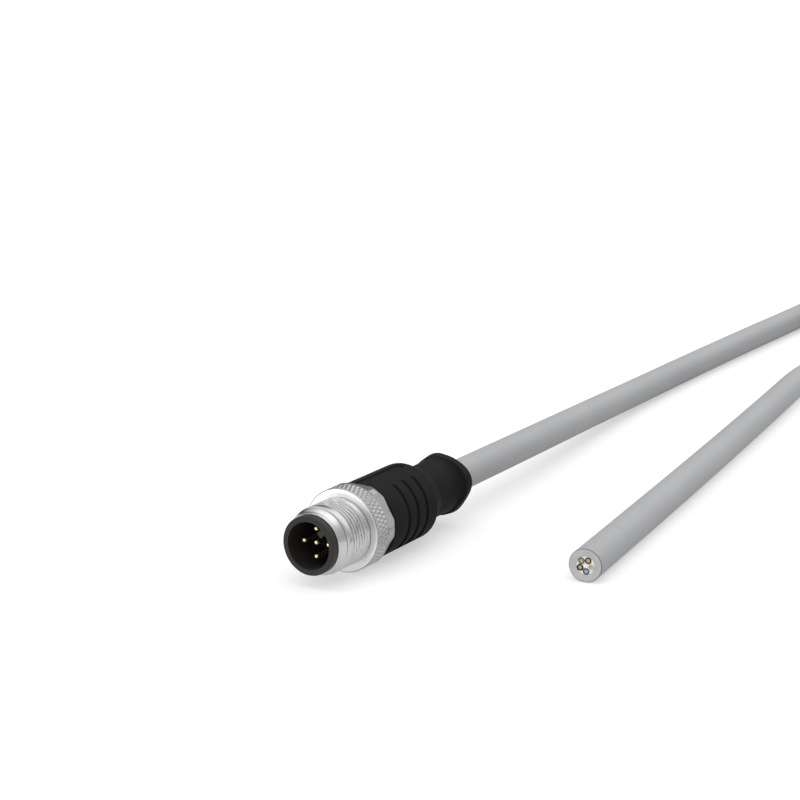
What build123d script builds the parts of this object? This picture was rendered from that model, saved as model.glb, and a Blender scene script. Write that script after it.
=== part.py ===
from build123d import *
from math import cos, pi, radians, sin, tan
import os

# Sizes are in millimetres. The connector's axis runs along +Y and its mating face looks to -Y.
# A station is a distance behind the mating face, measured along that axis.

# Moving and moulded fits
running_clearance = 0.08
axial_play = 0.15
moulded_clearance = 0.02
cutter_margin = 1.0

# Coupling screw: M12 x 1 thread, flange, knurled ring and hexagon
thread_diameter = 12.0
screw_wall = 1.0
nose_face_width = 0.3
nose_cone_length = 0.75
nose_cone_rise = 0.18
lead_in_length = 0.9
thread_length = 7.0
flange_height = 1.5
ring_edge = 0.15
knurl_length = 3.5
hexagon_step = 0.75
hexagon_length = 2.6
hexagon_chamfer_length = 1.0
hexagon_chamfer_height = 0.45

# Contact carrier: the black insert with the socket and the coding key
sleeve_wall = 0.72
socket_depth = 8.6
lip_wall = 1.0
lip_length = 1.2
lip_edge = 0.12
sleeve_tail = 1.35
key_width = 1.1
key_reach = 1.15
key_angle = 45.0

# Contact pins: four on a circle and one in the middle, with solder cups behind
pin_diameter = 1.0
pin_circle_diameter = 5.0
pin_recess = 2.1
cup_wall = 0.37
cup_length = 4.0
cup_bore_depth = 3.0

# Cable: grey jacket, white filler and five insulated cores
cable_diameter = 6.0
core_diameter = 1.15
insulation_wall = 0.215
core_gap = 0.06
core_wall_gap = 0.035
filler_recess = 0.1
core_names = ["brown", "white", "blue", "black", "grey"]
moulded_core_angle = 18.0
cut_core_angle = 62.0

# Grip body: barrel with three grip grooves, shoulder, neck and collar
barrel_step = 0.4
barrel_length = 14.05
barrel_edge = 0.3
shoulder_length = 4.45
grip_neck_wall = 2.15
grip_neck_length = 5.6
flare_length = 1.3
flare_rise = 0.3
collar_length = 2.55
collar_front_edge = 0.25
collar_rear_edge = 0.5
collar_step = 0.52
collar_lobe_radius = 4.25
collar_lobe_offset = 2.3
collar_lobe_angle = 20.0
groove_count = 3
groove_pitch = 3.0
groove_ramp = 1.1
groove_floor = 0.06
groove_depth = 0.25
groove_half_angle = 60.0
channel_width = 1.9
channel_depth = 0.34
channel_length = 13.2

# Inner mould around the solder cups and the leads
grip_wall = 2.58
inner_mould_overlap = 1.6
bare_wire_length = 0.7
lead_bend_length = 4.6
lead_bend_radius = 4.0
lead_run_in = 1.7
lead_run_out = 2.4

# Coil of the stored length: two layers, a cable diameter apart
coil_mean_radius = 29.0
coil_full_turns = 5
coil_turn_gap = 0.1
coil_stub_length = 24.0
coil_edge_radius = 2.4
coil_entry_x = -7.2
coil_centre_y = 256.0
coil_exit_angle = -40.0
coil_exit_run = 15.0

# Cut end of the cable
cut_end_x = 38.0
cut_end_y = 5.4
cut_end_turn = 6.7
cut_end_length = 14.0
cut_end_run = 33.4

thread_radius = thread_diameter / 2
bore_radius = thread_radius - screw_wall
nose_face_radius = bore_radius + nose_face_width
nose_cone_radius = nose_face_radius + nose_cone_rise
ring_radius = thread_radius + flange_height
flat_radius = ring_radius - hexagon_step
sleeve_radius = bore_radius - running_clearance
socket_radius = sleeve_radius - sleeve_wall
lip_radius = socket_radius + lip_wall
cable_radius = cable_diameter / 2
core_radius = core_diameter / 2
conductor_radius = core_radius - insulation_wall
core_step = 360 / len(core_names)
core_circle_radius = core_radius / sin(radians(core_step / 2)) + core_gap
jacket_bore_radius = core_circle_radius + core_radius + core_wall_gap
pin_radius = pin_diameter / 2
cup_bore_radius = conductor_radius + moulded_clearance
cup_radius = cup_bore_radius + cup_wall
barrel_radius = ring_radius - barrel_step
inner_mould_radius = barrel_radius - grip_wall - moulded_clearance
grip_neck_radius = cable_radius + grip_neck_wall
flare_radius = grip_neck_radius + flare_rise
collar_radius = grip_neck_radius + collar_step

# Stations along the connector's axis
screw_front = lip_length + axial_play
nose_end = screw_front + nose_cone_length
thread_start = nose_end + lead_in_length
flange_station = thread_start + thread_length
knurl_end = flange_station + knurl_length
screw_rear = knurl_end + hexagon_length
grip_front = screw_rear + axial_play
carrier_rear = grip_front + sleeve_tail
cup_end = carrier_rear + cup_length
cup_bottom = cup_end - cup_bore_depth
lead_start = cup_end + bare_wire_length
bend_start = lead_start + lead_run_in
bend_end = bend_start + lead_bend_length
jacket_front = bend_end + lead_run_out
inner_mould_rear = jacket_front + inner_mould_overlap
barrel_rear = grip_front + barrel_length
shoulder_rear = barrel_rear + shoulder_length
grip_neck_rear = shoulder_rear + grip_neck_length
collar_front = grip_neck_rear + flare_length
connector_length = collar_front + collar_length

# The screw's ring rests on the floor, with the connector's length centred on the origin
seat = Pos(0, -connector_length / 2, ring_radius)


def turned(outline):
    """A solid turned about the Y axis from (radius, station) points."""
    return revolve(make_face(Polyline(*outline, close=True)), Axis.Y)


def rod(radius, start, end, x=0.0, z=0.0):
    """A round rod along Y between two stations."""
    return Plane.XZ.offset(-start) * Pos(x, z, 0) * extrude(Circle(radius), -(end - start))


def on_circle(radius, angle):
    """The (x, z) place at an angle from +X, seen from the mating face."""
    return radius * cos(radians(angle)), radius * sin(radians(angle))


def pin_places():
    """Contacts 1 to 4 a quarter turn apart, from +X upward, and contact 5 in the middle."""
    places = [on_circle(pin_circle_diameter / 2, 90.0 * i) for i in range(4)]
    return places + [(0.0, 0.0)]


def core_places(first_angle, direction):
    """The cores' places in the cable, in the order of core_names."""
    angles = [first_angle + direction * core_step * i for i in range(len(core_names))]
    return [on_circle(core_circle_radius, angle) for angle in angles]


def swept(section_radius, path):
    """A round bar along a path."""
    return sweep(Plane(origin=path @ 0, z_dir=path % 0) * Circle(section_radius), path=path)


def contact_carrier():
    body = turned([
        (0, 0), (lip_radius - lip_edge, 0), (lip_radius, lip_edge), (lip_radius, lip_length),
        (sleeve_radius, lip_length), (sleeve_radius, carrier_rear), (0, carrier_rear),
    ])
    body -= rod(socket_radius, 0, socket_depth)
    key_height = key_reach + sleeve_wall / 2
    key_middle = socket_radius - key_reach + key_height / 2
    key = Pos(key_middle, socket_depth / 2, 0) * Box(key_height, socket_depth, key_width)
    body += Rot(0, -key_angle, 0) * key
    for x, z in pin_places():
        body -= rod(pin_radius + moulded_clearance, socket_depth, carrier_rear, x, z)
    return body


def contact_pin(x, z):
    """A pin with a round tip, its shoulder against the carrier, and a solder cup."""
    outline = Polyline(
        (pin_radius, pin_recess + pin_radius), (pin_radius, carrier_rear),
        (cup_radius, carrier_rear), (cup_radius, cup_end), (cup_bore_radius, cup_end),
        (cup_bore_radius, cup_bottom), (0, cup_bottom), (0, pin_recess),
    )
    nose = TangentArc(
        (pin_radius, pin_recess + pin_radius), (0, pin_recess), tangent=(0, -1)
    )
    return Pos(x, 0, z) * revolve(make_face(outline + nose), Axis.Y)


def coupling_screw():
    body = turned([
        (bore_radius, screw_front), (nose_face_radius, screw_front), (nose_cone_radius, nose_end),
        (thread_radius, thread_start), (thread_radius, flange_station),
        (ring_radius - ring_edge, flange_station),
        (ring_radius, flange_station + ring_edge),
        (ring_radius, screw_rear - hexagon_chamfer_length),
        (ring_radius - hexagon_chamfer_height, screw_rear), (bore_radius, screw_rear),
    ])
    hexagon = RegularPolygon(flat_radius, 6, major_radius=False)
    outside = Plane.XZ.offset(-knurl_end) * extrude(
        Circle(ring_radius + cutter_margin) - hexagon, -(hexagon_length + cutter_margin)
    )
    return body - outside


def grip_grooves():
    """Saw-tooth grooves on both flanks, a ramp inward and a steep step at each rear edge."""
    cutter = None
    for i in range(groove_count):
        edge = barrel_rear - groove_pitch * (groove_count - i)
        floor_start = edge - groove_floor
        ring = turned([
            (barrel_radius + cutter_margin, floor_start - groove_ramp),
            (barrel_radius, floor_start - groove_ramp),
            (barrel_radius - groove_depth, floor_start),
            (barrel_radius - groove_depth, edge), (barrel_radius + cutter_margin, edge),
        ])
        cutter = ring if cutter is None else cutter + ring
    half_height = barrel_radius * sin(radians(groove_half_angle))
    flanks = Pos(0, grip_front + barrel_length / 2, 0) * Box(
        2 * (barrel_radius + cutter_margin), barrel_length, 2 * half_height
    )
    return cutter & flanks


def collar_disc(radius):
    disc = rod(radius, collar_front, connector_length)
    disc = fillet(disc.edges().sort_by(Axis.Y)[-1:], collar_rear_edge)
    return fillet(disc.edges().sort_by(Axis.Y)[:1], collar_front_edge)


def collar():
    """The disc round the cable at the grip's rear, with a lobe on each side."""
    body = collar_disc(collar_radius)
    for side in (0, 180):
        x, z = on_circle(collar_lobe_offset, collar_lobe_angle + side)
        body += Pos(x, 0, z) * collar_disc(collar_lobe_radius)
    return body


def grip_body():
    outer = Polyline(
        (0, grip_front), (barrel_radius - barrel_edge, grip_front),
        (barrel_radius, grip_front + barrel_edge), (barrel_radius, barrel_rear),
        (grip_neck_radius, shoulder_rear), (grip_neck_radius, grip_neck_rear),
    )
    flare = TangentArc(
        (grip_neck_radius, grip_neck_rear), (flare_radius, collar_front), tangent=(0, 1)
    )
    rear = Polyline(
        (flare_radius, collar_front), (flare_radius, collar_front + collar_length / 2),
        (0, collar_front + collar_length / 2), (0, grip_front),
    )
    body = revolve(make_face(outer + flare + rear), Axis.Y) + collar()
    body -= rod(sleeve_radius + moulded_clearance, grip_front, carrier_rear)
    body -= rod(inner_mould_radius + moulded_clearance, carrier_rear, inner_mould_rear)
    body -= rod(cable_radius + moulded_clearance, inner_mould_rear, connector_length)
    body -= grip_grooves()
    slot_end = grip_front + channel_length - channel_width / 2
    channel = Pos(0, 0, barrel_radius) * (
        Pos(0, (grip_front + slot_end) / 2, 0)
        * Box(channel_width, slot_end - grip_front, 2 * channel_depth)
        + Pos(0, slot_end, 0) * Cylinder(channel_width / 2, 2 * channel_depth)
    )
    return body - channel


def lead_path(pin_place, core_place, start):
    """From a solder cup, straight back, across to the core's place, and into the jacket."""
    px, pz = pin_place
    cx, cz = core_place
    return FilletPolyline(
        (px, start, pz), (px, bend_start, pz), (cx, bend_end, cz), (cx, jacket_front, cz),
        radius=lead_bend_radius,
    )


def lead_insulation(pin_place, core_place):
    path = lead_path(pin_place, core_place, lead_start)
    return swept(core_radius, path) - swept(cup_bore_radius, path)


def lead_conductor(pin_place, core_place):
    start = cup_bottom + moulded_clearance
    return swept(conductor_radius, lead_path(pin_place, core_place, start))


def inner_mould():
    body = rod(inner_mould_radius, carrier_rear, inner_mould_rear)
    body -= rod(cable_radius + moulded_clearance, jacket_front, inner_mould_rear)
    for pin_place, core_place in zip(pin_places(), core_places(moulded_core_angle, 1)):
        body -= rod(cup_radius + moulded_clearance, carrier_rear, cup_end, *pin_place)
        body -= rod(cup_bore_radius, cup_end, lead_start, *pin_place)
        insulated = lead_path(pin_place, core_place, lead_start)
        body -= swept(core_radius + moulded_clearance, insulated)
    return body


def jacket_end():
    """The end of the cable that is moulded into the grip."""
    return rod(cable_radius, jacket_front, connector_length)


def cut_end_pieces():
    """The squarely cut end of the cable, built along +Y from its cut face."""
    pieces = {}
    length = cut_end_length
    pieces["cable_end_jacket"] = rod(cable_radius, 0, length) - rod(jacket_bore_radius, 0, length)
    filler = rod(jacket_bore_radius - moulded_clearance, filler_recess, length)
    for name, (x, z) in zip(core_names, core_places(cut_core_angle, -1)):
        filler -= rod(core_radius + moulded_clearance, 0, length, x, z)
        insulation = rod(core_radius, 0, length, x, z) - rod(cup_bore_radius, 0, length, x, z)
        pieces[f"cable_end_{name}_insulation"] = insulation
        pieces[f"cable_end_{name}_conductor"] = rod(conductor_radius, 0, length, x, z)
    pieces["cable_end_filler"] = filler
    place = Pos(cut_end_x, cut_end_y, cable_radius) * Rot(0, 0, cut_end_turn)
    return {name: place * piece for name, piece in pieces.items()}


def ahead(place, turn, distance, height):
    """The point at a distance from a place, along +Y turned left by an angle."""
    x, y = place
    return x - distance * sin(radians(turn)), y + distance * cos(radians(turn)), height


# The coil's outermost turn is tangent to the lead's last run
coil_turns = coil_full_turns + (180 - coil_exit_angle) / 360
coil_turn_pitch = cable_diameter + coil_turn_gap
coil_layer_travel = coil_turn_pitch * coil_turns / 2
coil_outer_turn = coil_mean_radius + coil_layer_travel / 2
coil_inner_turn = coil_mean_radius - coil_layer_travel / 2
coil_top = cable_radius + coil_turn_pitch
coil_centre_x = coil_entry_x + coil_outer_turn
coil_entry_y = coil_centre_y - coil_stub_length
leave_x, leave_y = on_circle(coil_outer_turn, coil_exit_angle)
leave_place = (coil_centre_x + leave_x, coil_centre_y + leave_y)
leave_turn = 180 + coil_exit_angle
coil_exit = ahead(leave_place, leave_turn, coil_stub_length, coil_top)
cut_end_place = (cut_end_x, cut_end_y)

# From the collar, gently down to the floor, and along it to the coil
lead_route = [
    (0, connector_length / 2, ring_radius),
    (0, 36, ring_radius),
    (-1.3, 60, 6.75),
    (-4.7, 90, 4.85),
    (-7.2, 120, 3.35),
    (-7.95, 150, cable_radius),
    (-7.75, 185, cable_radius),
    (coil_entry_x, 215, cable_radius),
    (coil_entry_x, coil_entry_y, cable_radius),
]

# From the coil's upper layer down to the floor, and back to the cut end
return_route = [
    coil_exit,
    ahead(leave_place, leave_turn, coil_stub_length + coil_exit_run, coil_top),
    (26.6, 189.6, 5.6),
    (20.7, 173.0, 3.7),
    (19.1, 155, cable_radius),
    (22.9, 128, cable_radius),
    (27.95, 89, cable_radius),
    ahead(cut_end_place, cut_end_turn, cut_end_length + cut_end_run, cable_radius),
    ahead(cut_end_place, cut_end_turn, cut_end_length, cable_radius),
]


def corner_radii(route):
    """Each corner's arc is as large as its two runs allow."""
    radii = []
    for a, b, c in zip(route, route[1:], route[2:]):
        before = Vector(*b) - Vector(*a)
        after = Vector(*c) - Vector(*b)
        half_turn = radians(before.get_angle(after)) / 2
        radii.append(0.45 * min(before.length, after.length) / tan(half_turn))
    return radii


def cable_tube(route, name):
    radii = corner_radii(route)
    path = FilletPolyline(*route, radius=radii)
    tube = swept(cable_radius, path)
    section = pi * cable_radius**2
    print(f"{name}: length {path.length:.1f}, radii", [round(r) for r in radii])
    print(f"{name}: volume {tube.volume:.1f}, section times length {section * path.length:.1f}")
    return tube, path.length


def cable_coil():
    """The outer shape of the wound turns, with a short straight run in and one out."""
    ring = turned([
        (coil_inner_turn - cable_radius, 0), (coil_outer_turn + cable_radius, 0),
        (coil_outer_turn + cable_radius, coil_top + cable_radius),
        (coil_inner_turn - cable_radius, coil_top + cable_radius),
    ])
    ring = fillet(ring.edges(), coil_edge_radius)
    ring = Pos(coil_centre_x, coil_centre_y, 0) * Rot(90, 0, 0) * ring
    run_in = Pos(coil_entry_x, coil_entry_y, cable_radius) * rod(cable_radius, 0, coil_stub_length)
    run_out = Pos(*coil_exit) * Rot(0, 0, coil_exit_angle) * rod(
        cable_radius, 0, coil_stub_length
    )
    return ring + run_in + run_out


def main():
    os.makedirs("parts", exist_ok=True)
    parts = {"contact_carrier": contact_carrier(), "coupling_screw": coupling_screw()}
    parts["grip_body"] = grip_body()
    parts["inner_mould"] = inner_mould()
    parts["jacket_end"] = jacket_end()
    cores = core_places(moulded_core_angle, 1)
    for number, (place, core, name) in enumerate(zip(pin_places(), cores, core_names), 1):
        parts[f"contact_pin_{number}"] = contact_pin(*place)
        parts[f"lead_{name}_insulation"] = lead_insulation(place, core)
        parts[f"lead_{name}_conductor"] = lead_conductor(place, core)
    parts = {name: seat * part for name, part in parts.items()}
    parts.update(cut_end_pieces())
    parts["cable_lead"], lead_length = cable_tube(lead_route, "cable_lead")
    parts["cable_return"], return_length = cable_tube(return_route, "cable_return")
    parts["cable_coil"] = cable_coil()
    coiled = coil_turns * 2 * pi * coil_mean_radius + 2 * coil_stub_length
    print(f"cable length {lead_length + coiled + return_length + cut_end_length:.0f}")
    for name, part in parts.items():
        export_step(part, f"parts/{name}.step")


main()
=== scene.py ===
from math import cos, pi, radians, sin, tan

import bmesh
import bpy
import numpy as np
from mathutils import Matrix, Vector


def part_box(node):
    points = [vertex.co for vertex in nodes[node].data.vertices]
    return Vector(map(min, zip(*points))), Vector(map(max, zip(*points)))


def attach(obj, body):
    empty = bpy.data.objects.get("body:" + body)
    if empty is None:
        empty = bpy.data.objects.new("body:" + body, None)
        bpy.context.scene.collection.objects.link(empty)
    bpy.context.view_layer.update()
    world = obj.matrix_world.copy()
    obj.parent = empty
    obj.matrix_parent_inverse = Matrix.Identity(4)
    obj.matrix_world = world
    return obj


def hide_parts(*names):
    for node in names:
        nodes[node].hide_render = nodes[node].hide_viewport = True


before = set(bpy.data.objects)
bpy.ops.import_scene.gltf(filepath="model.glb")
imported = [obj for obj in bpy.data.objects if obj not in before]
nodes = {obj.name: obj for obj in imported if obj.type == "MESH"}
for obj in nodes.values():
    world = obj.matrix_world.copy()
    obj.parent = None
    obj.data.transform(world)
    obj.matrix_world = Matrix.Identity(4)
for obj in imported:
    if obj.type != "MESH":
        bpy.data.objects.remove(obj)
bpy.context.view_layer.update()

MM = 0.001

# The connector's axis runs along +Y at this height, and its mating face is the lowest Y
carrier_low, carrier_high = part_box("contact_carrier")
FACE_Y = carrier_low.y
AXIS_Z = (carrier_low.z + carrier_high.z) / 2

# The five cores, in their order round the cable, and their insulation's colours
INSULATION = {
    "brown": (0.085, 0.055, 0.034),
    "white": (0.74, 0.73, 0.71),
    "blue": (0.05, 0.135, 0.3),
    "black": (0.004, 0.004, 0.004),
    "grey": (0.17, 0.166, 0.145),
}
PIN_COUNT = 5


def smooth_step(x):
    """0 up to 0, 1 from 1 on, and a smooth rise between them."""
    x = np.clip(x, 0.0, 1.0)
    return x * x * (3 - 2 * x)


# Camera

CAMERA_PLACE = (0.182954, -0.285373, 0.113659)
CAMERA_DIRECTION = (-0.51446, 0.82181, -0.24486)
CAMERA_SENSOR = 36
CAMERA_LENS = 90.343
CAMERA_NEAR = 0.01
CAMERA_FAR = 20


def make_camera():
    data = bpy.data.cameras.new("camera")
    camera = bpy.data.objects.new("camera", data)
    bpy.context.scene.collection.objects.link(camera)
    camera.location = CAMERA_PLACE
    camera.rotation_mode = "QUATERNION"
    camera.rotation_quaternion = Vector(CAMERA_DIRECTION).to_track_quat("-Z", "Y")
    data.sensor_width = CAMERA_SENSOR
    data.lens = CAMERA_LENS
    data.clip_start = CAMERA_NEAR
    data.clip_end = CAMERA_FAR
    bpy.context.scene.camera = camera


# Cord

CORD_RADIUS = 0.003
CORD_STEPS_ALONG = 12
CORD_STEPS_AROUND = 9
CORD_EXIT_Y = 0.0221
COIL_MEAN_RADIUS = 0.029
COIL_FULL_TURNS = 5
COIL_TURN_PITCH = 0.0061
COIL_EXIT_ANGLE = -40
COIL_ENTRY_X = -0.0072
COIL_CENTRE_Y = 0.256
COIL_POINTS = 88
COIL_RISE_SHARE = 0.05
CUT_END_PLACE = (0.038, 0.0054)
CUT_END_TURN = 6.7
CUT_END_LENGTH = 0.014

coil_turns = COIL_FULL_TURNS + (180 - COIL_EXIT_ANGLE) / 360
coil_travel = COIL_TURN_PITCH * coil_turns / 2
coil_outer_turn = COIL_MEAN_RADIUS + coil_travel / 2
coil_centre_x = COIL_ENTRY_X + coil_outer_turn
coil_top = CORD_RADIUS + COIL_TURN_PITCH


def ahead(place, turn, distance, height):
    """The point at a distance from a place, along +Y turned left by an angle."""
    x, y = place
    return x - distance * sin(radians(turn)), y + distance * cos(radians(turn)), height


def coil_points():
    """The coil's turns: inward on the floor, then outward on top of them."""
    step = radians(360 * coil_turns / COIL_POINTS)
    points = []
    for i in range(COIL_POINTS):
        share = (i + 0.5) / COIL_POINTS
        inward = 2 * min(share, 1 - share)
        radius = (coil_outer_turn - coil_travel * inward) / cos(step / 2)
        angle = pi - (i + 0.5) * step
        rise = smooth_step((share - 0.5) / COIL_RISE_SHARE + 0.5)
        points.append((
            coil_centre_x + radius * cos(angle),
            COIL_CENTRE_Y + radius * sin(angle),
            CORD_RADIUS + COIL_TURN_PITCH * rise,
        ))
    return points


def cord_points():
    """The cord's route: out of the grip, round the coil and back to the cut end."""
    exit_angle = radians(COIL_EXIT_ANGLE)
    leave_place = (
        coil_centre_x + coil_outer_turn * cos(exit_angle),
        COIL_CENTRE_Y + coil_outer_turn * sin(exit_angle),
    )
    leave_turn = 180 + COIL_EXIT_ANGLE
    return [
        (0, CORD_EXIT_Y, AXIS_Z),
        (0, 0.036, AXIS_Z),
        (-0.0013, 0.060, 0.00675),
        (-0.0047, 0.090, 0.00485),
        (-0.0072, 0.120, 0.00335),
        (-0.00795, 0.150, CORD_RADIUS),
        (-0.00775, 0.185, CORD_RADIUS),
        (COIL_ENTRY_X, 0.215, CORD_RADIUS),
        (COIL_ENTRY_X, 0.232, CORD_RADIUS),
        *coil_points(),
        ahead(leave_place, leave_turn, 0.024, coil_top),
        ahead(leave_place, leave_turn, 0.039, coil_top),
        (0.0266, 0.1896, 0.0056),
        (0.0207, 0.1730, 0.0037),
        (0.0191, 0.155, CORD_RADIUS),
        (0.0229, 0.128, CORD_RADIUS),
        (0.02795, 0.089, CORD_RADIUS),
        ahead(CUT_END_PLACE, CUT_END_TURN, CUT_END_LENGTH + 0.0334, CORD_RADIUS),
        ahead(CUT_END_PLACE, CUT_END_TURN, CUT_END_LENGTH, CORD_RADIUS),
    ]


def make_cord(material):
    data = bpy.data.curves.new("cable", "CURVE")
    data.dimensions = "3D"
    spline = data.splines.new("NURBS")
    points = cord_points()
    spline.points.add(len(points) - 1)
    for point, place in zip(spline.points, points):
        point.co = (*place, 1)
    spline.order_u = 3
    spline.use_endpoint_u = True
    spline.resolution_u = CORD_STEPS_ALONG
    data.bevel_depth = CORD_RADIUS
    data.bevel_resolution = CORD_STEPS_AROUND
    data.materials.append(material)
    cable = bpy.data.objects.new("cable", data)
    bpy.context.scene.collection.objects.link(cable)
    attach(cable, "root")
    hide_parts("cable_lead", "cable_coil", "cable_return")
    return cable


# Materials

NICKEL_TINT = (1, 0.995, 0.99)


def new_material(name, base, roughness, metallic=0.0, gloss=0.5):
    """A principled material, its node tree and its shader, with the plain values set."""
    material = bpy.data.materials.new(name)
    material.use_nodes = True
    tree = material.node_tree
    shader = tree.nodes["Principled BSDF"]
    shader.inputs["Base Color"].default_value = (*base, 1)
    shader.inputs["Roughness"].default_value = roughness
    shader.inputs["Metallic"].default_value = metallic
    shader.inputs["Specular IOR Level"].default_value = gloss
    material.diffuse_color = (*base, 1)
    return material, tree, shader


def object_place(tree, scale=(1, 1, 1)):
    """The place on the object, stretched along its axes."""
    place = tree.nodes.new("ShaderNodeTexCoord")
    mapping = tree.nodes.new("ShaderNodeMapping")
    mapping.inputs["Scale"].default_value = scale
    tree.links.new(place.outputs["Object"], mapping.inputs["Vector"])
    return mapping.outputs["Vector"]


def noise(tree, vector, scale, detail=2):
    node = tree.nodes.new("ShaderNodeTexNoise")
    node.inputs["Scale"].default_value = scale
    node.inputs["Detail"].default_value = detail
    tree.links.new(vector, node.inputs["Vector"])
    return node.outputs["Fac"]


def turning_marks(tree, across, along):
    """Noise drawn out round the axis, like the marks that a lathe leaves."""
    return noise(tree, object_place(tree, (across, along, across)), scale=1)


def spread(tree, value, low, high, from_low=0.3, from_high=0.7):
    """A value carried from one range to another. Noise keeps mostly to the range given here."""
    node = tree.nodes.new("ShaderNodeMapRange")
    node.inputs["From Min"].default_value = from_low
    node.inputs["From Max"].default_value = from_high
    node.inputs["To Min"].default_value = low
    node.inputs["To Max"].default_value = high
    tree.links.new(value, node.inputs["Value"])
    return node.outputs["Result"]


def vary_colour(tree, shader, pattern, dark, light):
    """The base colour goes between two colours with a noise pattern."""
    node = tree.nodes.new("ShaderNodeMix")
    node.data_type = "RGBA"
    node.inputs["A"].default_value = (*dark, 1)
    node.inputs["B"].default_value = (*light, 1)
    tree.links.new(spread(tree, pattern, 0, 1), node.inputs["Factor"])
    tree.links.new(node.outputs["Result"], shader.inputs["Base Color"])


def vary_roughness(tree, shader, pattern, smooth, rough):
    tree.links.new(spread(tree, pattern, smooth, rough), shader.inputs["Roughness"])


def bump(tree, shader, height, distance):
    node = tree.nodes.new("ShaderNodeBump")
    node.inputs["Distance"].default_value = distance
    tree.links.new(height, node.inputs["Height"])
    tree.links.new(node.outputs["Normal"], shader.inputs["Normal"])


def shade(colour, factor):
    return tuple(level * factor for level in colour)


def moulded_plastic(name, base, roughness, gloss=0.5, unevenness=0.12, patches=0.05):
    """Matte moulded plastic: faint spark-eroded grain, uneven gloss and tone."""
    material, tree, shader = new_material(name, base, roughness, gloss=gloss)
    vector = object_place(tree)
    broad = noise(tree, vector, scale=140, detail=3)
    fine = noise(tree, vector, scale=6500)
    vary_colour(tree, shader, broad, shade(base, 1 - unevenness), shade(base, 1 + unevenness))
    vary_roughness(tree, shader, broad, roughness - patches, roughness + patches)
    bump(tree, shader, fine, distance=12e-6)
    return material


def nickel(name, level, smooth, rough, unevenness=0.04):
    """Satin nickel plate on turned brass: fine turning marks round the axis."""
    base = shade(NICKEL_TINT, level)
    material, tree, shader = new_material(name, base, (smooth + rough) / 2, metallic=1.0)
    broad = noise(tree, object_place(tree), scale=260, detail=3)
    turned = turning_marks(tree, across=200, along=14000)
    vary_colour(tree, shader, broad, shade(base, 1 - unevenness), shade(base, 1 + unevenness))
    vary_roughness(tree, shader, turned, smooth, rough)
    bump(tree, shader, turned, distance=2.5e-6)
    return material


def gold(name):
    material, tree, shader = new_material(name, (0.86, 0.72, 0.42), 0.2, metallic=1.0)
    turned = turning_marks(tree, across=300, along=9000)
    vary_roughness(tree, shader, turned, 0.14, 0.3)
    bump(tree, shader, turned, distance=2e-6)
    return material


def copper(name):
    material, tree, shader = new_material(name, (0.76, 0.63, 0.38), 0.38, metallic=1.0)
    grain = noise(tree, object_place(tree), scale=9000)
    vary_colour(tree, shader, grain, (0.64, 0.51, 0.27), (0.93, 0.82, 0.53))
    bump(tree, shader, grain, distance=10e-6)
    return material


def cable_jacket(name):
    """Grey extruded jacket: matte, with a faint grain and a slight unevenness of tone."""
    material, tree, shader = new_material(name, (0.35, 0.353, 0.36), 0.55)
    vector = object_place(tree)
    broad = noise(tree, vector, scale=60, detail=4)
    fine = noise(tree, vector, scale=5200)
    vary_colour(tree, shader, broad, (0.333, 0.336, 0.343), (0.358, 0.361, 0.368))
    vary_roughness(tree, shader, fine, 0.48, 0.62)
    bump(tree, shader, fine, distance=12e-6)
    return material


def make_materials():
    """Every material, by its name."""
    made = [
        cable_jacket("jacket"),
        moulded_plastic("carrier", (0.021, 0.0204, 0.0194), 0.5, gloss=0.25),
        moulded_plastic("grip", (0.0172, 0.0172, 0.0172), 0.6, gloss=0.02),
        moulded_plastic("inner mould", (0.1, 0.1, 0.1), 0.5),
        nickel("nickel", 0.5, smooth=0.18, rough=0.3),
        # A darker copy of the nickel: painted shade in the grooves, the relief, the fine line and
        # on the flange's bevel
        nickel("nickel painted shade", 0.34, smooth=0.28, rough=0.42),
        # A lighter copy of the nickel: a painted bright reflection on the flange's front face
        nickel("nickel flange painted bright", 0.88, smooth=0.3, rough=0.42),
        # Darker copies of the nickel: painted shade on the knurl and on the hexagon's flats
        nickel("nickel knurl painted shade", 0.45, smooth=0.28, rough=0.42),
        nickel("nickel hexagon painted shade", 0.34, smooth=0.28, rough=0.42),
        gold("contact"),
        copper("conductor"),
        moulded_plastic("filler", (0.93, 0.93, 0.92), 0.7, unevenness=0.03),
        # Dark grey with painted shade for the cut's rounded rim, and a lighter grey with painted
        # light for the cut face
        moulded_plastic("cut rim painted shade", (0.16, 0.162, 0.166), 0.6),
        moulded_plastic("cut face", (0.52, 0.52, 0.522), 0.7, gloss=0.2),
    ]
    for name, colour in INSULATION.items():
        made.append(moulded_plastic(f"{name} insulation", colour, 0.4, gloss=0.1))
    return {material.name: material for material in made}


def dress_cad_nodes(materials):
    """The CAD model's own nodes take the same materials as the pieces made here."""
    look = {
        "contact_carrier": "carrier", "coupling_screw": "nickel", "grip_body": "grip",
        "inner_mould": "inner mould", "jacket_end": "jacket", "cable_end_jacket": "jacket",
        "cable_end_filler": "filler",
    }
    for number in range(1, PIN_COUNT + 1):
        look[f"contact_pin_{number}"] = "contact"
    for core in INSULATION:
        for stem in ("lead", "cable_end"):
            look[f"{stem}_{core}_insulation"] = f"{core} insulation"
            look[f"{stem}_{core}_conductor"] = "conductor"
    for node, material in look.items():
        data = nodes[node].data
        data.materials.clear()
        data.materials.append(materials[material])


# Meshes

def band_faces(rows, columns):
    """The faces of a closed surface of rings, each joined to the next and the last to the
    first. Its vertices run round each ring in turn."""
    row, column = np.meshgrid(np.arange(rows), np.arange(columns), indexing="ij")
    next_row, next_column = (row + 1) % rows, (column + 1) % columns
    return np.stack([
        row * columns + column, row * columns + next_column,
        next_row * columns + next_column, next_row * columns + column,
    ], axis=-1).reshape(-1, 4).tolist()


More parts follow.
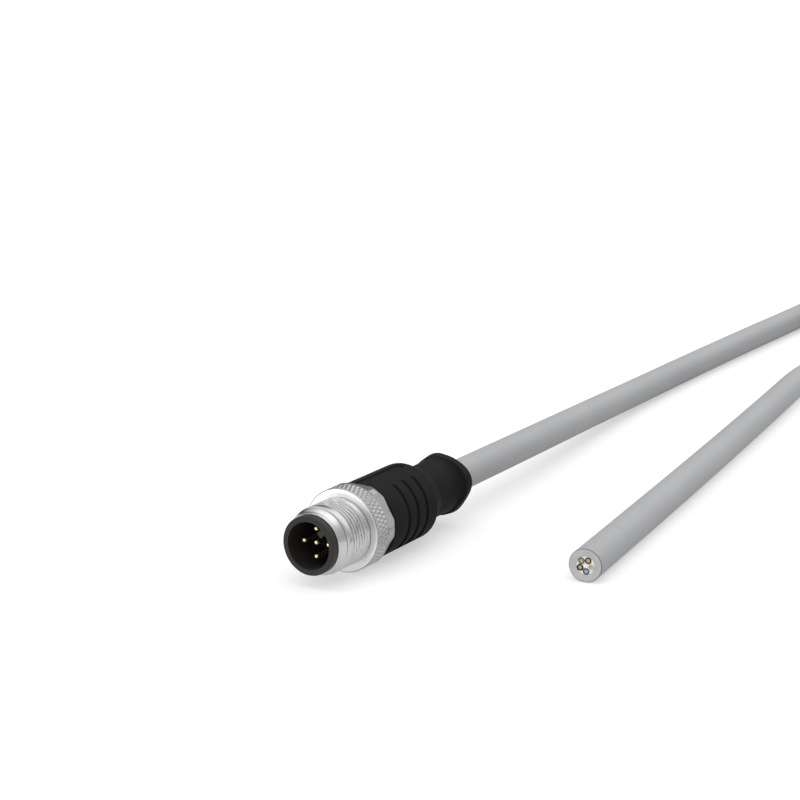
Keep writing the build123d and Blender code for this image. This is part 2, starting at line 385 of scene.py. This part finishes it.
def new_mesh(name, places, faces, materials, sharp=28):
    """A smooth mesh, with sharp edges where its faces meet at more than an angle."""
    data = bpy.data.meshes.new(name)
    data.from_pydata(places.tolist(), [], faces)
    shell = bmesh.new()
    shell.from_mesh(data)
    bmesh.ops.recalc_face_normals(shell, faces=shell.faces)
    shell.to_mesh(data)
    shell.free()
    data.polygons.foreach_set("use_smooth", [True] * len(data.polygons))
    data.set_sharp_from_angle(angle=radians(sharp))
    for material in materials:
        data.materials.append(material)
    piece = bpy.data.objects.new(name, data)
    bpy.context.scene.collection.objects.link(piece)
    return piece


def row_values(rows, count):
    """The rows' stations and radii, each as an array with a value for every angle."""
    return [np.array([np.broadcast_to(row[i], count) for row in rows]) for i in (0, 1)]


def ring_grid(name, rows, angles, materials):
    """A closed mesh whose rows run round the connector's axis. Each row gives a station and a
    radius in millimetres, single values or one for each angle. Angles run from +X towards +Z."""
    station, radius = (values * MM for values in row_values(rows, len(angles)))
    places = np.stack([
        radius * np.cos(angles), FACE_Y + station, AXIS_Z + radius * np.sin(angles)
    ], axis=-1).reshape(-1, 3)
    return new_mesh(name, places, band_faces(len(rows), len(angles)), materials)


# Coupling screw, in millimetres and degrees: stations behind the mating face, and radii

BORE_RADIUS = 5.0
SCREW_EDGE = 0.05
THREAD_RADIUS = 6.0
THREAD_PITCH = 0.8
THREAD_DEPTH = 0.38
THREAD_CREST = 0.2
THREAD_FLANK_ANGLE = 30
THREAD_START = 4.4
THREAD_END = 9.8
THREAD_STEP = 0.06
FIRST_GROOVE = 5.05
FIRST_GROOVE_ANGLE = 50
THREAD_ENTRY = 4.5
THREAD_ENTRY_LENGTH = 0.3
RUN_OUT_STATIONS = (8.4, 9.0, 9.7, THREAD_END)
RUN_OUT_SHARES = (1, 0.3, 0.12, 0)
RELIEF_START = 3.04
RELIEF_END = 3.34
LAND_RADIUS = 5.95
LAND_LINE_START = 9.88
LAND_LINE_DEPTH = 0.06
FLANGE_STATION = 10.0
BEVEL_RADIUS = 7.3
RING_RADIUS = 7.5
KNURL_TEETH = 57
SCREW_COLUMNS = 10 * KNURL_TEETH
KNURL_START = 10.17
KNURL_END = 13.5
KNURL_TAIL = 0.15
KNURL_ROWS = 31
KNURL_DEPTH = 0.16
KNURL_LEAN = 24
KNURL_SLOPE_SHARE = 0.82
KNURL_FADE = 0.1
KNURL_FRONT_DROP = 0.04
KNURL_REAR_DROP = 0.1
FLAT_RADIUS = 6.75
FLAT_BLEND = 0.08
HEXAGON_STATIONS = (KNURL_END + 0.06, KNURL_END + 0.13, 14.2, 15.0)
CHAMFER_START = 15.1
CHAMFER_SLOPE = 0.45
CHAMFER_SHARES = (0, 0.02, 0.35, 0.68, 1)
SHORTEST_CHAMFER = 0.02
SCREW_REAR = 16.1
REAR_FACE_RADIUS = 6.2

# The nose: a narrow face, a cone, a relief groove and a plain ring
NOSE = [
    (1.40, BORE_RADIUS), (1.35, BORE_RADIUS + SCREW_EDGE), (1.35, 5.26), (1.39, 5.31),
    (2.06, 5.47), (2.10, 5.485), (2.14, 5.51), (2.84, 5.88), (2.90, 5.90), (2.94, 5.86),
    (RELIEF_START, 5.62), (3.08, 5.60), (3.30, 5.60), (RELIEF_END, 5.62), (3.46, 5.94),
    (3.50, 5.98), (3.56, THREAD_RADIUS), (4.0, THREAD_RADIUS),
]
# The flange: a fine line behind the thread, the front face and its bevel
FLANGE = [
    (9.86, 5.98), (LAND_LINE_START, LAND_RADIUS - LAND_LINE_DEPTH), (9.98, LAND_RADIUS - 0.08),
    (FLANGE_STATION, LAND_RADIUS - LAND_LINE_DEPTH), (FLANGE_STATION, LAND_RADIUS),
    (FLANGE_STATION, 6.6), (FLANGE_STATION, 7.27), (10.01, BEVEL_RADIUS), (10.05, 7.345),
    (10.1, 7.395), (10.14, 7.435),
]

# The screw's tones, in the order of its materials: plain nickel, then copies that paint shade or
# light
TURNED, PAINTED_SHADE, PAINTED_BRIGHT_FLANGE, KNURL_PAINTED_SHADE, FLATS_PAINTED_SHADE = range(5)
SCREW_MATERIALS = [
    "nickel", "nickel painted shade", "nickel flange painted bright", "nickel knurl painted shade", "nickel hexagon painted shade"
]
# How deep the painted shade begins, as a share of the thread's and the knurl's depth
THREAD_SHADE_SHARE = 0.5
KNURL_SHADE_SHARE = 0.55
# A step that tells a row from its neighbours
NEAR = 0.005


def thread_groove(station, angles):
    """How deep the right-hand thread's groove is at a station, for each angle."""
    turn = (np.degrees(angles) - FIRST_GROOVE_ANGLE) / 360
    place = (station - FIRST_GROOVE) / THREAD_PITCH + turn
    off = np.abs((place + 0.5) % 1.0 - 0.5) * THREAD_PITCH
    half_width = (THREAD_PITCH - THREAD_CREST) / 2
    depth = np.clip((half_width - off) / tan(radians(THREAD_FLANK_ANGLE)), 0, THREAD_DEPTH)
    entry = smooth_step((station - THREAD_ENTRY) / THREAD_ENTRY_LENGTH)
    return depth * entry * np.interp(station, RUN_OUT_STATIONS, RUN_OUT_SHARES)


def thread_rows(angles):
    rows = []
    for station in np.arange(THREAD_START, THREAD_END + THREAD_STEP / 2, THREAD_STEP):
        rows.append((station, THREAD_RADIUS - thread_groove(station, angles)))
    return rows


def knurl_height(station, angles):
    """The diamond knurl's height above its grooves, for each angle."""
    pitch = 2 * pi * RING_RADIUS / KNURL_TEETH
    along = (station - KNURL_START) * tan(radians(KNURL_LEAN)) / pitch
    around = angles * KNURL_TEETH / (2 * pi)
    heights = []
    for u in (around + along, around - along):
        heights.append(np.clip(np.abs(u % 1.0 - 0.5) * 2 / KNURL_SLOPE_SHARE, 0, 1))
    return KNURL_DEPTH * np.minimum(*heights)


def knurl_rows(angles):
    """The knurl fades in behind the flange's bevel, and its teeth are cut off at the rear."""
    rows = []
    for station in np.linspace(KNURL_START, KNURL_END - KNURL_TAIL, KNURL_ROWS):
        fade = smooth_step((station - KNURL_START) / KNURL_FADE)
        crest = RING_RADIUS - KNURL_FRONT_DROP * (1 - fade)
        cut = (KNURL_DEPTH - knurl_height(station, angles)) * fade
        rows.append((station, crest - cut))
    rear = KNURL_END - SCREW_EDGE
    low = RING_RADIUS - KNURL_DEPTH
    teeth = low + knurl_height(rear, angles)
    rows.append((rear, np.minimum(teeth, RING_RADIUS - KNURL_REAR_DROP)))
    rows.append((KNURL_END, np.minimum(teeth, low)))
    return rows


def hexagon_radius(angles):
    """The flats, blended into the round between them."""
    off = np.abs(np.degrees(angles) % 60 - 30)
    flat = FLAT_RADIUS / np.cos(np.radians(off))
    share = np.clip(0.5 + (flat - RING_RADIUS) / (2 * FLAT_BLEND), 0, 1)
    return flat + (RING_RADIUS - flat) * share - FLAT_BLEND * share * (1 - share)


def hexagon_rows(angles):
    """The hexagon with its chamfered corners, the rear face and the bore."""
    hexagon = hexagon_radius(angles)
    rows = [(KNURL_END, np.minimum(RING_RADIUS - KNURL_DEPTH, hexagon))]
    for station in HEXAGON_STATIONS:
        rows.append((station, hexagon))
    edge = SCREW_REAR - SCREW_EDGE
    meeting = CHAMFER_START + (RING_RADIUS - hexagon) / CHAMFER_SLOPE
    meeting = np.minimum(meeting, edge - SHORTEST_CHAMFER)
    for share in CHAMFER_SHARES:
        station = meeting + (edge - meeting) * share
        cone = RING_RADIUS - CHAMFER_SLOPE * (station - CHAMFER_START)
        rows.append((station, np.minimum(hexagon, cone)))
    rows += [
        (SCREW_REAR, rows[-1][1] - SCREW_EDGE), (SCREW_REAR, REAR_FACE_RADIUS),
        (SCREW_REAR, BORE_RADIUS + SCREW_EDGE), (edge, BORE_RADIUS),
        (FLANGE_STATION, BORE_RADIUS), (4.0, BORE_RADIUS),
    ]
    return rows


def screw_tones(rows):
    """Each face's nickel, plain or with painted shade or light, by where it starts and ends and by
    its middle radius.
    """
    start, radius = row_values(rows, SCREW_COLUMNS)
    end = np.roll(start, -1, 0)
    middle = (radius + np.roll(radius, -1, 0)) / 2
    middle = (middle + np.roll(middle, -1, 1)) / 2
    tone = np.full(start.shape, TURNED)

    thread = (start > THREAD_START - NEAR) & (end < LAND_LINE_START + NEAR)
    # Painted shade in the thread's and the knurl's grooves, in the relief and in the fine line
    tone[thread & (middle < THREAD_RADIUS - THREAD_SHADE_SHARE * THREAD_DEPTH)] = PAINTED_SHADE
    knurl = (start > KNURL_START - NEAR) & (end < KNURL_END - NEAR)
    tone[knurl & (middle < RING_RADIUS - KNURL_SHADE_SHARE * KNURL_DEPTH)] = PAINTED_SHADE
    tone[(start > RELIEF_START - NEAR) & (end < RELIEF_END + NEAR)] = PAINTED_SHADE
    tone[(start > LAND_LINE_START - NEAR) & (middle < LAND_RADIUS)] = PAINTED_SHADE

    flange = (start > FLANGE_STATION - NEAR) & (end < KNURL_START + NEAR)
    # Painted bright reflection on the flange's front
    tone[flange & (middle >= LAND_RADIUS)] = PAINTED_BRIGHT_FLANGE
    # Painted shade on the flange's bevel, as a dark outline
    tone[flange & (middle > BEVEL_RADIUS)] = PAINTED_SHADE
    # Painted shade on the knurl and, behind it, on the hexagon's flats and rear
    tone[(start > KNURL_START - NEAR) & (tone == TURNED)] = KNURL_PAINTED_SHADE
    tone[(start > KNURL_END - NEAR) & (tone == KNURL_PAINTED_SHADE)] = FLATS_PAINTED_SHADE
    tone[middle <= BORE_RADIUS + SCREW_EDGE + NEAR] = TURNED
    return tone


def make_screw(materials):
    angles = np.arange(SCREW_COLUMNS) * 2 * pi / SCREW_COLUMNS
    rows = [*NOSE, *thread_rows(angles), *FLANGE, *knurl_rows(angles), *hexagon_rows(angles)]
    screw = ring_grid("screw", rows, angles, [materials[name] for name in SCREW_MATERIALS])
    screw.data.polygons.foreach_set("material_index", screw_tones(rows).ravel())
    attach(screw, "coupling_screw")
    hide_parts("coupling_screw")


# Grip, in millimetres and degrees: stations behind the mating face, and radii

GRIP_FRONT = 16.25
BARREL_FRONT = 16.6
BARREL_RADIUS = 7.1
BARREL_REAR = 30.3
SHOULDER_REAR = 34.75
SHOULDER_ROWS = 14
NECK_RADIUS = 5.15
NECK_STATIONS = (SHOULDER_REAR + 0.2, 36.0, 37.5, 39.0, 40.2)
FLARE_START = 40.6
FLARE_ROWS = 14
FLARE_STATION_POWER = 1.6
FLARE_RADIUS_POWER = 2.6
COLLAR_FRONT = 41.85
COLLAR_EDGE = 0.1
COLLAR_LIP = 0.14
COLLAR_LIP_MIDDLE = 0.05
COLLAR_LIP_DROP = 0.03
COLLAR_OUTSIDE_SHARES = (0.25, 0.5, 0.75, 1)
COLLAR_ROUND = 0.5
COLLAR_ROUND_ROWS = 7
COLLAR_ROUND_GAP = 0.02
COLLAR_ROUND_FIRST = 0.15
CONNECTOR_REAR = 44.2
# The collar's outline on one side: angle from +X towards +Z, front radius, rear radius
COLLAR_OUTLINE = [
    (-90, 5.72, 5.75), (-75, 5.66, 5.84), (-60, 5.55, 5.76), (-45, 5.5, 5.6), (-30, 5.6, 5.54),
    (-17, 5.95, 5.72), (-7, 6.25, 6.02), (2, 6.42, 6.28), (12, 6.55, 6.52), (22, 6.52, 6.55),
    (33, 6.45, 6.4), (47, 6.3, 6.05), (61, 5.98, 5.76), (75, 5.72, 5.66), (90, 5.66, 5.64),
]
COLLAR_SMOOTHING = 15
GROOVE_EDGES = (21.3, 24.3, 27.3)
GROOVE_DEPTH = 0.34
GROOVE_RAMP = 1.6
GROOVE_RAMP_ROWS = 12
GROOVE_FLOOR = 0.06
GROOVE_WALL = 0.03
GROOVE_HALF_ANGLE = 60
GROOVE_CORNER = 0.75
GROOVE_END_SLOPE = 0.18
CHANNEL_WIDTH = 1.9
CHANNEL_DEPTH = 0.42
CHANNEL_END = 29.5
CHANNEL_END_ROWS = 10
CHANNEL_SIDE_SLOPE = 0.1
JACKET_HOLE = 3.02
MOULD_HOLE = 4.52
MOULD_FRONT = 17.6
MOULD_REAR = 32.6
SLEEVE_HOLE = 4.94
STATION_STEP = 0.2
SMALLEST_STEP = 0.025
ANGLE_STEP = 1.25
# Finer steps across the top, where the channel's sides are
FINE_ANGLE_STEP = 0.4
FINE_ANGLES = (80, 100)

GRIP_FRONT_EDGE = [
    (GRIP_FRONT, 6.75), (GRIP_FRONT, 6.8), (GRIP_FRONT + 0.04, 6.9), (GRIP_FRONT + 0.15, 7.03),
    (GRIP_FRONT + 0.27, 7.09),
]
# The shoulder: a soft front edge, where its even slope starts and stops, and a soft rear edge
SHOULDER_FRONT_EDGE = [
    (BARREL_REAR, BARREL_RADIUS - 0.005), (BARREL_REAR + 0.1, BARREL_RADIUS - 0.03)
]
SHOULDER_SLOPE = (BARREL_REAR + 0.25, SHOULDER_REAR - 0.2)
SHOULDER_REAR_EDGE = (SHOULDER_REAR, NECK_RADIUS + 0.03)
# The rear face and the stepped hole, from the rear to the front
GRIP_INSIDE = [
    (CONNECTOR_REAR, 4.2), (CONNECTOR_REAR, JACKET_HOLE), (40.0, JACKET_HOLE),
    (36.0, JACKET_HOLE), (MOULD_REAR, JACKET_HOLE), (MOULD_REAR, MOULD_HOLE),
    (28.0, MOULD_HOLE), (22.0, MOULD_HOLE), (MOULD_FRONT, MOULD_HOLE),
    (MOULD_FRONT, SLEEVE_HOLE), (GRIP_FRONT, SLEEVE_HOLE),
]


def corner_lift(reach):
    """How far a groove's rounded corner cuts its end short, at a distance from its side."""
    if reach >= GROOVE_CORNER:
        return 0.0
    return GROOVE_CORNER - (GROOVE_CORNER**2 - (GROOVE_CORNER - reach) ** 2) ** 0.5


def groove_depth(station, angles):
    """The saw-tooth grooves on both flanks: a ramp inward, then a steep rear wall."""
    off = np.abs((np.degrees(angles) + 90) % 180 - 90)
    side = np.radians(GROOVE_HALF_ANGLE - off) * BARREL_RADIUS
    depth = 0
    for edge in GROOVE_EDGES:
        start = edge - GROOVE_FLOOR - GROOVE_RAMP
        if start <= station <= edge:
            ramp = min(1.0, (station - start) / GROOVE_RAMP)
            lift = max(corner_lift(station - start), corner_lift(edge - station) / 2)
            depth = GROOVE_DEPTH * ramp * smooth_step((side - lift) / GROOVE_END_SLOPE)
    return depth


def channel_floor(station, angles, radius):
    """The radius, no larger than the floor of the shallow channel along the top allows."""
    half = CHANNEL_WIDTH / 2
    past = station - (CHANNEL_END - half)
    if past >= half:
        return radius
    if past > 0:
        half = (half**2 - past**2) ** 0.5
    across = np.abs(radius * np.cos(angles))
    share = smooth_step((half - across) / CHANNEL_SIDE_SLOPE + 0.5) * (np.sin(angles) > 0)
    floor = (BARREL_RADIUS - CHANNEL_DEPTH) / np.maximum(np.sin(angles), 0.5)
    return radius - share * np.maximum(radius - floor, 0)


def collar_radii(angles):
    """The collar isn't round: a lobe on each side, half a turn apart. Its front and rear radii."""
    degrees = np.degrees(angles)
    seen = (degrees + 90) % 180 - 90
    known = np.array(COLLAR_OUTLINE)
    kernel = np.hanning(COLLAR_SMOOTHING) / np.hanning(COLLAR_SMOOTHING).sum()
    around = []
    for column in (1, 2):
        radius = np.interp(seen, known[:, 0], known[:, column])
        even = np.interp(np.arange(360), degrees, radius, period=360)
        even = np.convolve(np.tile(even, 3), kernel, "same")[360:720]
        around.append(np.interp(degrees, np.arange(360), even, period=360))
    return around


def barrel_stations():
    """Even steps along the barrel, with finer ones in the grooves and at the channel's end."""
    stations = list(np.arange(BARREL_FRONT, BARREL_REAR, STATION_STEP))
    for edge in GROOVE_EDGES:
        start = edge - GROOVE_FLOOR - GROOVE_RAMP
        stations += list(np.linspace(start, edge - GROOVE_FLOOR, GROOVE_RAMP_ROWS))
        stations += [edge, edge + GROOVE_WALL]
    round_start = CHANNEL_END - CHANNEL_WIDTH / 2
    stations += list(np.linspace(round_start, CHANNEL_END, CHANNEL_END_ROWS))
    stations = sorted(set(np.round(stations, 4)))
    kept = [stations[0]]
    for station in stations[1:]:
        if station - kept[-1] > SMALLEST_STEP:
            kept.append(station)
    return kept


def barrel_rows(angles):
    rows = []
    for station, radius in GRIP_FRONT_EDGE:
        rows.append((station, channel_floor(station, angles, radius + 0 * angles)))
    for station in barrel_stations():
        radius = BARREL_RADIUS - groove_depth(station, angles)
        rows.append((station, channel_floor(station, angles, radius)))
    return rows


def neck_rows():
    """The shoulder, with a soft edge before and behind its slope, and the neck."""
    slope = (BARREL_RADIUS - NECK_RADIUS) / (SHOULDER_REAR - BARREL_REAR)
    rows = list(SHOULDER_FRONT_EDGE)
    for station in np.linspace(*SHOULDER_SLOPE, SHOULDER_ROWS):
        rows.append((station, BARREL_RADIUS - slope * (station - BARREL_REAR)))
    rows.append(SHOULDER_REAR_EDGE)
    for station in NECK_STATIONS:
        rows.append((station, NECK_RADIUS))
    return rows


def collar_rows(angles):
    """The flare from the neck, the collar's front lip, its outside and its round rear edge."""
    front, rear = collar_radii(angles)
    rows = []
    length, rise = COLLAR_FRONT - FLARE_START, front - COLLAR_EDGE - NECK_RADIUS
    for share in np.linspace(0, 1, FLARE_ROWS):
        station = FLARE_START + length * (1 - (1 - share) ** FLARE_STATION_POWER)
        rows.append((station, NECK_RADIUS + rise * share**FLARE_RADIUS_POWER))
    outside_front = COLLAR_FRONT + COLLAR_LIP
    outside_rear = CONNECTOR_REAR - COLLAR_ROUND
    outside_length = outside_rear - COLLAR_ROUND_GAP - outside_front
    rows.append((COLLAR_FRONT + COLLAR_LIP_MIDDLE, front - COLLAR_LIP_DROP))
    rows.append((outside_front, front))
    for share in COLLAR_OUTSIDE_SHARES:
        rows.append((outside_front + share * outside_length, front + (rear - front) * share))
    for share in np.linspace(COLLAR_ROUND_FIRST, 1, COLLAR_ROUND_ROWS):
        turn = share * pi / 2
        rows.append((
            outside_rear + COLLAR_ROUND * sin(turn), rear - COLLAR_ROUND * (1 - cos(turn))
        ))
    return rows


def make_grip(material):
    coarse = np.arange(0, 360, ANGLE_STEP)
    fine_first, fine_last = FINE_ANGLES
    fine = np.arange(fine_first, fine_last + FINE_ANGLE_STEP / 2, FINE_ANGLE_STEP)
    angles = np.radians(np.array(sorted(set(np.round([*coarse, *fine], 4)))))
    rows = [*barrel_rows(angles), *neck_rows(), *collar_rows(angles), *GRIP_INSIDE]
    grip = ring_grid("grip", rows, angles, [material])
    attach(grip, "root")
    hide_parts("grip_body")


# Cut end of the cable, in millimetres from the middle of its cut face

JACKET_RADIUS = CORD_RADIUS / MM
JACKET_BORE = 1.6482
CUT_LENGTH = CUT_END_LENGTH / MM
CUT_COLUMNS = 128
# The jacket's outline, as a distance behind the cut and a radius: round rim, face and bore
CUT_JACKET = [
    (0.14, JACKET_RADIUS), (0.06, JACKET_RADIUS - 0.015), (0.015, JACKET_RADIUS - 0.06),
    (0, JACKET_RADIUS - 0.13), (0, 2.3), (0, JACKET_BORE + 0.05), (0.04, JACKET_BORE),
    (4, JACKET_BORE), (CUT_LENGTH, JACKET_BORE), (CUT_LENGTH, JACKET_RADIUS),
    (8, JACKET_RADIUS), (2, JACKET_RADIUS), (0.3, JACKET_RADIUS),
]
RIM_BANDS = slice(0, 3)
FACE_BANDS = slice(3, 6)
CORE_CIRCLE = 1.0382
CUT_CORE_ANGLE = 62
CORE_STEP = 360 / len(INSULATION)
WIRE_RADIUS = 0.36
# Strands lie in the middle and on two circles, given in strand radii, with a count on each
STRAND_CIRCLES = ((2, 6), (4, 12))
STRAND_RADIUS = WIRE_RADIUS / 5
STRAND_GAP_SHARE = 0.97
STRAND_TWIST = 0.3
STRAND_RECESS = 0.05
STRAND_CHAMFER = 0.03
STRAND_END_SHARE = 0.7
STRAND_UNEVENNESS = 0.03
STRAND_UNEVEN_STEP = 5.1
STRAND_COLUMNS = 10
STRAND_RINGS = 3


def cut_end_point(across, along, up):
    turn = radians(CUT_END_TURN)
    x, y = CUT_END_PLACE
    return np.stack([
        x + (across * cos(turn) - along * sin(turn)) * MM,
        y + (across * sin(turn) + along * cos(turn)) * MM,
        CORD_RADIUS + up * MM,
    ], axis=-1)


def make_cut_jacket(jacket, rim, face):
    """The jacket, with its rim slightly rounded by the cut; the rim carries painted shade and the
    cut face painted light.
    """
    angles = np.arange(CUT_COLUMNS) * 2 * pi / CUT_COLUMNS
    along, radius = row_values(CUT_JACKET, CUT_COLUMNS)
    places = cut_end_point(radius * np.cos(angles), along, radius * np.sin(angles))
    faces = band_faces(len(CUT_JACKET), CUT_COLUMNS)
    stub = new_mesh("cut_end_jacket", places.reshape(-1, 3), faces, [jacket, rim, face])
    tone = np.zeros((len(CUT_JACKET), CUT_COLUMNS), int)
    # Painted shade on the rounded rim, painted light on the cut face
    tone[RIM_BANDS] = 1
    tone[FACE_BANDS] = 2
    stub.data.polygons.foreach_set("material_index", tone.ravel())
    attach(stub, "root")
    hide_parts("cable_end_jacket")
    return stub


def strand_places(across, up, uneven):
    """One strand's rings: a chamfered end at the cut, then the far end."""
    around = np.arange(STRAND_COLUMNS) * 2 * pi / STRAND_COLUMNS
    outer = STRAND_RADIUS * STRAND_GAP_SHARE
    end = STRAND_RECESS + uneven
    rings = [(end, STRAND_END_SHARE * outer), (end + STRAND_CHAMFER, outer), (CUT_LENGTH, outer)]
    return np.concatenate([
        cut_end_point(
            across + radius * np.cos(around), along + 0 * around, up + radius * np.sin(around)
        )
        for along, radius in rings
    ])


def strand_faces(first):
    """One strand's sides and its two ends, from the number of its first vertex."""
    faces = []
    for j in range(STRAND_COLUMNS):
        following = (j + 1) % STRAND_COLUMNS
        for ring in (first, first + STRAND_COLUMNS):
            behind = ring + STRAND_COLUMNS
            faces.append((ring + j, ring + following, behind + following, behind + j))
    for ring in (first, first + (STRAND_RINGS - 1) * STRAND_COLUMNS):
        faces.append(tuple(ring + j for j in range(STRAND_COLUMNS)))
    return faces


def make_conductor(number, core, wire):
    """One core's stranded conductor."""
    angle = radians(CUT_CORE_ANGLE - CORE_STEP * number)
    middle_across, middle_up = CORE_CIRCLE * cos(angle), CORE_CIRCLE * sin(angle)
    spots = [(0, 0)]
    for circle, count in STRAND_CIRCLES:
        for k in range(count):
            turn = 2 * pi * k / count + STRAND_TWIST * number
            reach = circle * STRAND_RADIUS
            spots.append((reach * cos(turn), reach * sin(turn)))
    places, faces = [], []
    for k, (across, up) in enumerate(spots):
        # The cut leaves each strand a little longer or shorter than the next
        uneven = STRAND_UNEVENNESS * sin(STRAND_UNEVEN_STEP * k + number)
        places.append(strand_places(middle_across + across, middle_up + up, uneven))
        faces += strand_faces(k * STRAND_RINGS * STRAND_COLUMNS)
    bunch = new_mesh(f"strands_{core}", np.concatenate(places), faces, [wire], sharp=40)
    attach(bunch, "root")
    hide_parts(f"cable_end_{core}_conductor")
    return bunch


# Stage

FLOOR_SIZE = 12
FLOOR_ALBEDO = 0.48
FLOOR_GLOW = 0.49
# The world's soft light: where it comes from, its lowest and highest level, and the cosines
# of the angle to there between which it rises
LIGHT_FROM = (-0.35, -0.1, 0.93)
LIGHT_LEVELS = (0.64, 1.16)
LIGHT_RANGE = (-0.1, 1.0)
# Panels that the metal reflects: direction, level, and the cosine at which the edge begins
BRIGHT_PANELS = [((0.16, 0.8, 0.55), 0.7, 0.78), ((0.22, -0.12, 0.97), 1.0, 0.82)]
DARK_PANELS = [((-0.62, 0.72, 0.2), 0.28, 0.74), ((-0.95, 0.32, 0.0), 0.1, 0.86)]
PANEL_CORE = 0.97


def emission(tree, strength):
    node = tree.nodes.new("ShaderNodeEmission")
    node.inputs["Color"].default_value = (1, 1, 1, 1)
    node.inputs["Strength"].default_value = strength
    return node.outputs[0]


def joined(tree, operation, first, second):
    """Two values joined by an operation."""
    node = tree.nodes.new("ShaderNodeMath")
    node.operation = operation
    tree.links.new(first, node.inputs[0])
    tree.links.new(second, node.inputs[1])
    return node.outputs[0]


def mixed(tree, share, first, second):
    """A share of the second shader in the first."""
    node = tree.nodes.new("ShaderNodeMixShader")
    tree.links.new(share, node.inputs["Fac"])
    tree.links.new(first, node.inputs[1])
    tree.links.new(second, node.inputs[2])
    return node.outputs[0]


def seen_share(tree):
    """1 for camera, glossy and transmission rays, otherwise 0."""
    ray = tree.nodes.new("ShaderNodeLightPath").outputs
    either = joined(tree, "MAXIMUM", ray["Is Camera Ray"], ray["Is Glossy Ray"])
    return joined(tree, "MAXIMUM", either, ray["Is Transmission Ray"])


def make_floor():
    """White to the camera and in reflections, and still able to take a shadow."""
    bpy.ops.mesh.primitive_plane_add(size=FLOOR_SIZE, location=(0, 0, 0))
    floor = bpy.context.object
    floor.name = "floor"
    grey = (FLOOR_ALBEDO, FLOOR_ALBEDO, FLOOR_ALBEDO)
    material, tree, shader = new_material("floor", grey, 1.0, gloss=0.0)
    glow = mixed(tree, seen_share(tree), emission(tree, 0.0), emission(tree, FLOOR_GLOW))
    add = tree.nodes.new("ShaderNodeAddShader")
    tree.links.new(shader.outputs[0], add.inputs[0])
    tree.links.new(glow, add.inputs[1])
    tree.links.new(add.outputs[0], tree.nodes["Material Output"].inputs["Surface"])
    floor.data.materials.append(material)


def towards(tree, place, direction):
    """The cosine of the angle between the way looked at and a direction."""
    node = tree.nodes.new("ShaderNodeVectorMath")
    node.operation = "DOT_PRODUCT"
    node.inputs[1].default_value = Vector(direction).normalized()
    tree.links.new(place.outputs["Generated"], node.inputs[0])
    return node.outputs["Value"]


def background(tree):
    node = tree.nodes.new("ShaderNodeBackground")
    node.inputs["Color"].default_value = (1, 1, 1, 1)
    node.inputs["Strength"].default_value = 1.0
    return node


def make_world():
    """White to the camera. Otherwise soft light from above, with one bright panel high behind
    the object and one overhead, and two dark ones low on the left, behind it and beside it."""
    world = bpy.data.worlds.new("studio")
    bpy.context.scene.world = world
    world.use_nodes = True
    tree = world.node_tree
    tree.nodes.clear()
    place = tree.nodes.new("ShaderNodeTexCoord")
    level = spread(tree, towards(tree, place, LIGHT_FROM), *LIGHT_LEVELS, *LIGHT_RANGE)
    for operation, plain, panels in (
        ("ADD", 0.0, BRIGHT_PANELS), ("MULTIPLY", 1.0, DARK_PANELS)
    ):
        for direction, change, edge in panels:
            near = towards(tree, place, direction)
            share = spread(tree, near, plain, change, edge, PANEL_CORE)
            level = joined(tree, operation, level, share)
    soft, white = background(tree), background(tree)
    tree.links.new(level, soft.inputs["Strength"])
    camera_ray = tree.nodes.new("ShaderNodeLightPath").outputs["Is Camera Ray"]
    out = tree.nodes.new("ShaderNodeOutputWorld")
    seen = mixed(tree, camera_ray, soft.outputs[0], white.outputs[0])
    tree.links.new(seen, out.inputs["Surface"])


def area_light(name, place, aim, width, height, power):
    data = bpy.data.lights.new(name, "AREA")
    data.shape = "RECTANGLE"
    data.size = width
    data.size_y = height
    data.energy = power
    light = bpy.data.objects.new(name, data)
    bpy.context.scene.collection.objects.link(light)
    light.location = place
    light.rotation_mode = "QUATERNION"
    light.rotation_quaternion = (Vector(aim) - Vector(place)).to_track_quat("-Z", "Y")


def make_lights():
    area_light(
        "key", place=(-0.45, -0.2, 0.95), aim=(0, 0.05, 0), width=0.7, height=0.7, power=1.15
    )
    area_light(
        "front", place=(-0.28, -0.48, 0.09), aim=(0, 0, 0.01), width=0.36, height=0.14, power=0.5
    )


def main():
    bpy.context.scene.view_settings.view_transform = "Standard"
    make_camera()
    materials = make_materials()
    jacket = materials["jacket"]
    cable = make_cord(jacket)
    make_screw(materials)
    make_grip(materials["grip"])
    on_end = [
        nodes["cable_end_filler"], *(nodes[f"cable_end_{core}_insulation"] for core in INSULATION),
        make_cut_jacket(jacket, materials["cut rim painted shade"], materials["cut face"]),
        *(make_conductor(number, core, materials["conductor"])
          for number, core in enumerate(INSULATION)),
    ]
    dress_cad_nodes(materials)
    make_floor()
    make_world()
    make_lights()


main()
